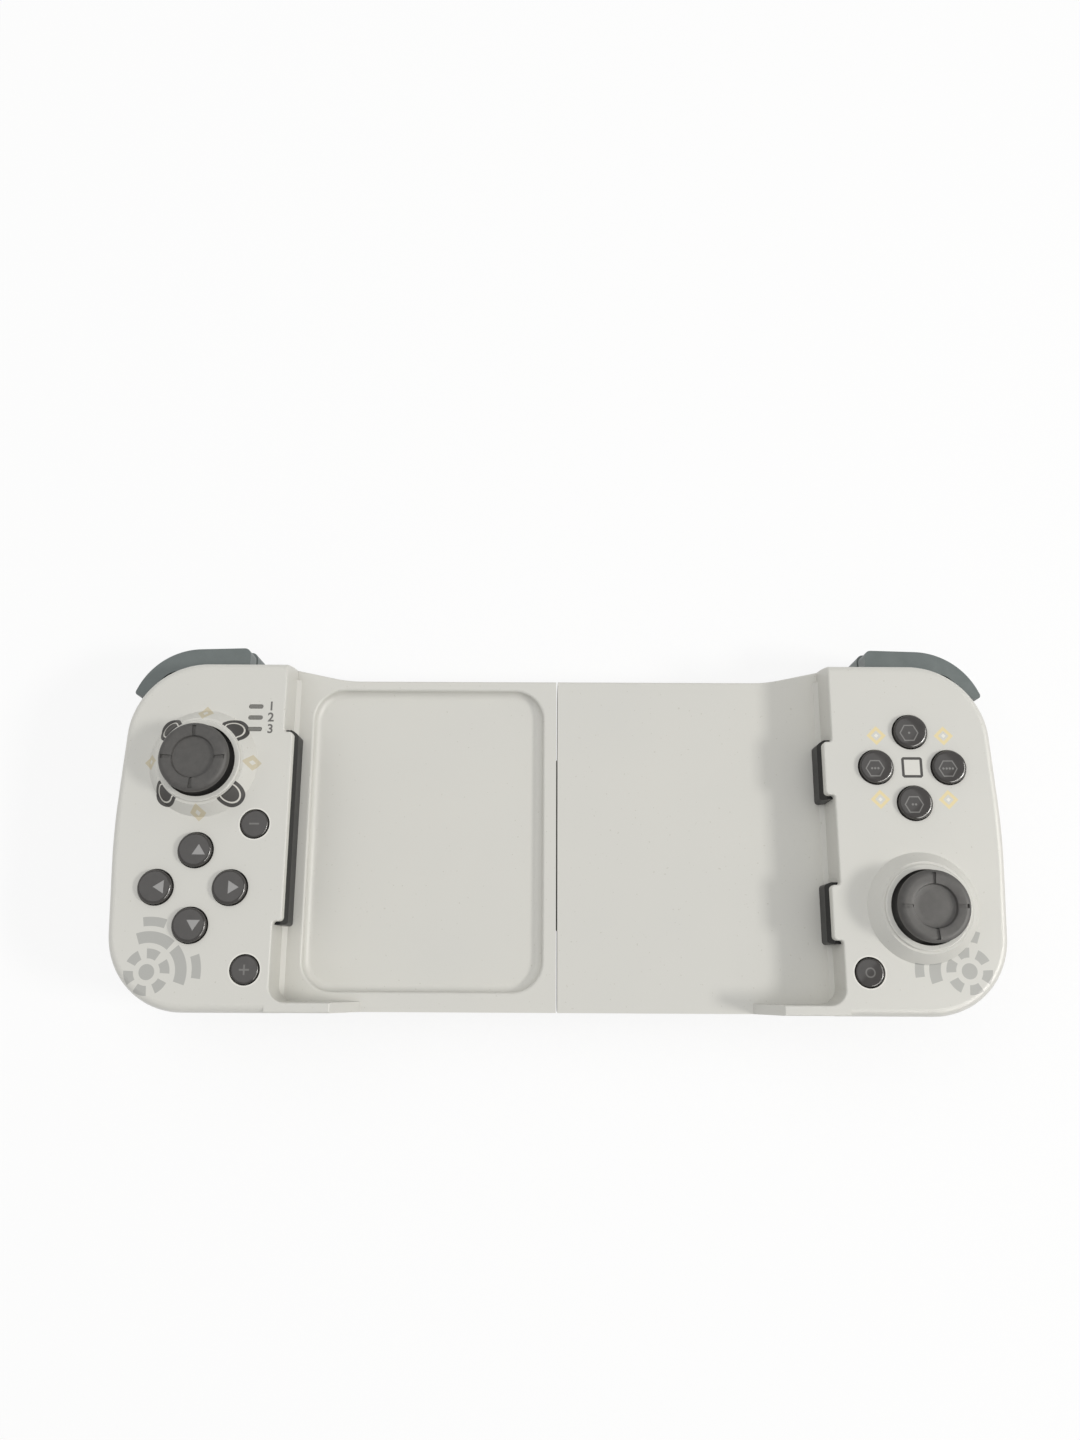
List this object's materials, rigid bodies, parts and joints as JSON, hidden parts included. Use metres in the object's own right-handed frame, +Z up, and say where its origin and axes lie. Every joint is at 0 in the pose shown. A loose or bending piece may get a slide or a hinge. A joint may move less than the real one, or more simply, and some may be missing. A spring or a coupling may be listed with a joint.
{
  "type": "mobile game controller",
  "caption": "Stretching controller: two grips with thumb sticks, round buttons and shoulder keys, joined by a sliding tray that clamps a phone.",
  "frame": {"origin": "on the table, under the middle of the closed controller's outline", "axes": "+X towards the right grip, +Y towards the shoulder keys, +Z up out of the front face, the backs of the grips on the table"},
  "size_m": [0.2042, 0.0848, 0.0363],
  "materials": {
    "shell": "fine matt, warm pale grey",
    "rubber": "satin black",
    "cap": "matt charcoal",
    "button": "glossy charcoal",
    "key": "satin blue-grey",
    "window": "satin smoke",
    "board": "green resist",
    "silicone": "matt grey",
    "cell": "foil",
    "module": "matt black",
    "steel": "plain",
    "rail": "natural white",
    "cable": "amber film"
  },
  "bodies": {
    "left_half": {"left_front_shell": "shell", "left_rear_shell": "shell", "left_pad": "rubber", "left_screws": "steel", "left_board": "board", "left_dome_mat": "silicone", "light_guide": "window", "battery": "cell", "left_stick_housing": "module", "left_shoulder_bracket": "module", "left_shoulder_pins": "steel", "left_shoulder_switches": "module", "left_trigger_spring": "steel", "guide_rail_upper": "rail", "guide_rail_lower": "rail", "return_spring_upper": "steel", "return_spring_lower": "steel", "ribbon_cable": "cable"},
    "right_half": {"right_front_shell": "shell", "right_rear_shell": "shell", "right_pad_lower": "rubber", "right_pad_upper": "rubber", "right_screws": "steel", "right_board": "board", "right_dome_mat": "silicone", "charging_socket": "steel", "right_stick_housing": "module", "right_shoulder_bracket": "module", "right_shoulder_pins": "steel", "right_shoulder_switches": "module", "right_trigger_spring": "steel", "slide_tongue": "steel", "tongue_cover": "steel"},
    "left_stick_ring": {"left_stick_yoke": "module"},
    "left_stick_tilt": {"left_stick_rocker": "module"},
    "left_stick": {"left_stick_stem": "module", "left_stick_cap": "cap"},
    "left_bumper_key": {"left_bumper": "key"},
    "left_trigger_key": {"left_trigger": "key"},
    "right_stick_ring": {"right_stick_yoke": "module"},
    "right_stick_tilt": {"right_stick_rocker": "module"},
    "right_stick": {"right_stick_stem": "module", "right_stick_cap": "cap"},
    "right_bumper_key": {"right_bumper": "key"},
    "right_trigger_key": {"right_trigger": "key"},
    "direction_key_top": {"direction_button_top": "button"},
    "direction_key_bottom": {"direction_button_bottom": "button"},
    "direction_key_inner": {"direction_button_inner": "button"},
    "direction_key_outer": {"direction_button_outer": "button"},
    "face_key_top": {"face_button_top": "button"},
    "face_key_bottom": {"face_button_bottom": "button"},
    "face_key_inner": {"face_button_inner": "button"},
    "face_key_outer": {"face_button_outer": "button"},
    "left_menu_key": {"left_menu_button": "button"},
    "left_option_key": {"left_option_button": "button"},
    "right_menu_key": {"right_menu_button": "button"}
  },
  "joints": [
    {"name": "halves_slide", "type": "slide", "parent": "left_half", "child": "right_half", "axis": [1, 0, 0], "range_m": [0, 0.045], "stiffness_N_per_m": 40, "springref_m": -0.02, "deforming": ["return_spring_upper", "return_spring_lower", "ribbon_cable"]},
    {"name": "left_stick_up_down", "type": "hinge", "parent": "left_half", "child": "left_stick_ring", "pos_m": [-0.08, 0.0124, 0.021], "axis": [1, 0, 0], "range_deg": [-14, 14], "stiffness_Nm_per_rad": 0.02},
    {"name": "left_stick_side_to_side", "type": "hinge", "parent": "left_stick_ring", "child": "left_stick_tilt", "pos_m": [-0.08, 0.0124, 0.021], "axis": [0, 1, 0], "range_deg": [-14, 14], "stiffness_Nm_per_rad": 0.02},
    {"name": "left_stick_press", "type": "slide", "parent": "left_stick_tilt", "child": "left_stick", "axis": [0, 0, -1], "range_m": [0, 0.0004], "stiffness_N_per_m": 600, "springref_m": -0.002},
    {"name": "right_stick_up_down", "type": "hinge", "parent": "right_half", "child": "right_stick_ring", "pos_m": [0.08, -0.0191, 0.021], "axis": [1, 0, 0], "range_deg": [-14, 14], "stiffness_Nm_per_rad": 0.02},
    {"name": "right_stick_side_to_side", "type": "hinge", "parent": "right_stick_ring", "child": "right_stick_tilt", "pos_m": [0.08, -0.0191, 0.021], "axis": [0, 1, 0], "range_deg": [-14, 14], "stiffness_Nm_per_rad": 0.02},
    {"name": "right_stick_press", "type": "slide", "parent": "right_stick_tilt", "child": "right_stick", "axis": [0, 0, -1], "range_m": [0, 0.0004], "stiffness_N_per_m": 600, "springref_m": -0.002},
    {"name": "direction_top_press", "type": "slide", "parent": "left_half", "child": "direction_key_top", "axis": [0, 0, -1], "range_m": [0, 0.001], "stiffness_N_per_m": 200, "springref_m": -0.001, "deforming": ["left_dome_mat"]},
    {"name": "direction_bottom_press", "type": "slide", "parent": "left_half", "child": "direction_key_bottom", "axis": [0, 0, -1], "range_m": [0, 0.001], "stiffness_N_per_m": 200, "springref_m": -0.001, "deforming": ["left_dome_mat"]},
    {"name": "direction_inner_press", "type": "slide", "parent": "left_half", "child": "direction_key_inner", "axis": [0, 0, -1], "range_m": [0, 0.001], "stiffness_N_per_m": 200, "springref_m": -0.001, "deforming": ["left_dome_mat"]},
    {"name": "direction_outer_press", "type": "slide", "parent": "left_half", "child": "direction_key_outer", "axis": [0, 0, -1], "range_m": [0, 0.001], "stiffness_N_per_m": 200, "springref_m": -0.001, "deforming": ["left_dome_mat"]},
    {"name": "face_top_press", "type": "slide", "parent": "right_half", "child": "face_key_top", "axis": [0, 0, -1], "range_m": [0, 0.001], "stiffness_N_per_m": 200, "springref_m": -0.001, "deforming": ["right_dome_mat"]},
    {"name": "face_bottom_press", "type": "slide", "parent": "right_half", "child": "face_key_bottom", "axis": [0, 0, -1], "range_m": [0, 0.001], "stiffness_N_per_m": 200, "springref_m": -0.001, "deforming": ["right_dome_mat"]},
    {"name": "face_inner_press", "type": "slide", "parent": "right_half", "child": "face_key_inner", "axis": [0, 0, -1], "range_m": [0, 0.001], "stiffness_N_per_m": 200, "springref_m": -0.001, "deforming": ["right_dome_mat"]},
    {"name": "face_outer_press", "type": "slide", "parent": "right_half", "child": "face_key_outer", "axis": [0, 0, -1], "range_m": [0, 0.001], "stiffness_N_per_m": 200, "springref_m": -0.001, "deforming": ["right_dome_mat"]},
    {"name": "left_menu_press", "type": "slide", "parent": "left_half", "child": "left_menu_key", "axis": [0, 0, -1], "range_m": [0, 0.0005], "stiffness_N_per_m": 200, "springref_m": -0.001, "deforming": ["left_dome_mat"]},
    {"name": "left_option_press", "type": "slide", "parent": "left_half", "child": "left_option_key", "axis": [0, 0, -1], "range_m": [0, 0.0005], "stiffness_N_per_m": 200, "springref_m": -0.001, "deforming": ["left_dome_mat"]},
    {"name": "right_menu_press", "type": "slide", "parent": "right_half", "child": "right_menu_key", "axis": [0, 0, -1], "range_m": [0, 0.0005], "stiffness_N_per_m": 200, "springref_m": -0.001, "deforming": ["right_dome_mat"]},
    {"name": "left_bumper_press", "type": "hinge", "parent": "left_half", "child": "left_bumper_key", "pos_m": [-0.0755, 0.0323, 0.019], "axis": [0, 0, 1], "range_deg": [0, 3.5], "stiffness_Nm_per_rad": 0.05, "springref_deg": -2.01},
    {"name": "left_trigger_pull", "type": "hinge", "parent": "left_half", "child": "left_trigger_key", "pos_m": [-0.08078, 0.0324, 0.0128], "axis": [-1, 0, 0], "range_deg": [0, 10], "stiffness_Nm_per_rad": 0.02, "springref_deg": -8.59, "deforming": ["left_trigger_spring"]},
    {"name": "right_bumper_press", "type": "hinge", "parent": "right_half", "child": "right_bumper_key", "pos_m": [0.0755, 0.0323, 0.019], "axis": [0, 0, -1], "range_deg": [0, 3.5], "stiffness_Nm_per_rad": 0.05, "springref_deg": -2.01},
    {"name": "right_trigger_pull", "type": "hinge", "parent": "right_half", "child": "right_trigger_key", "pos_m": [0.08078, 0.0324, 0.0128], "axis": [-1, 0, 0], "range_deg": [0, 10], "stiffness_Nm_per_rad": 0.02, "springref_deg": -8.59, "deforming": ["right_trigger_spring"]}
  ]
}
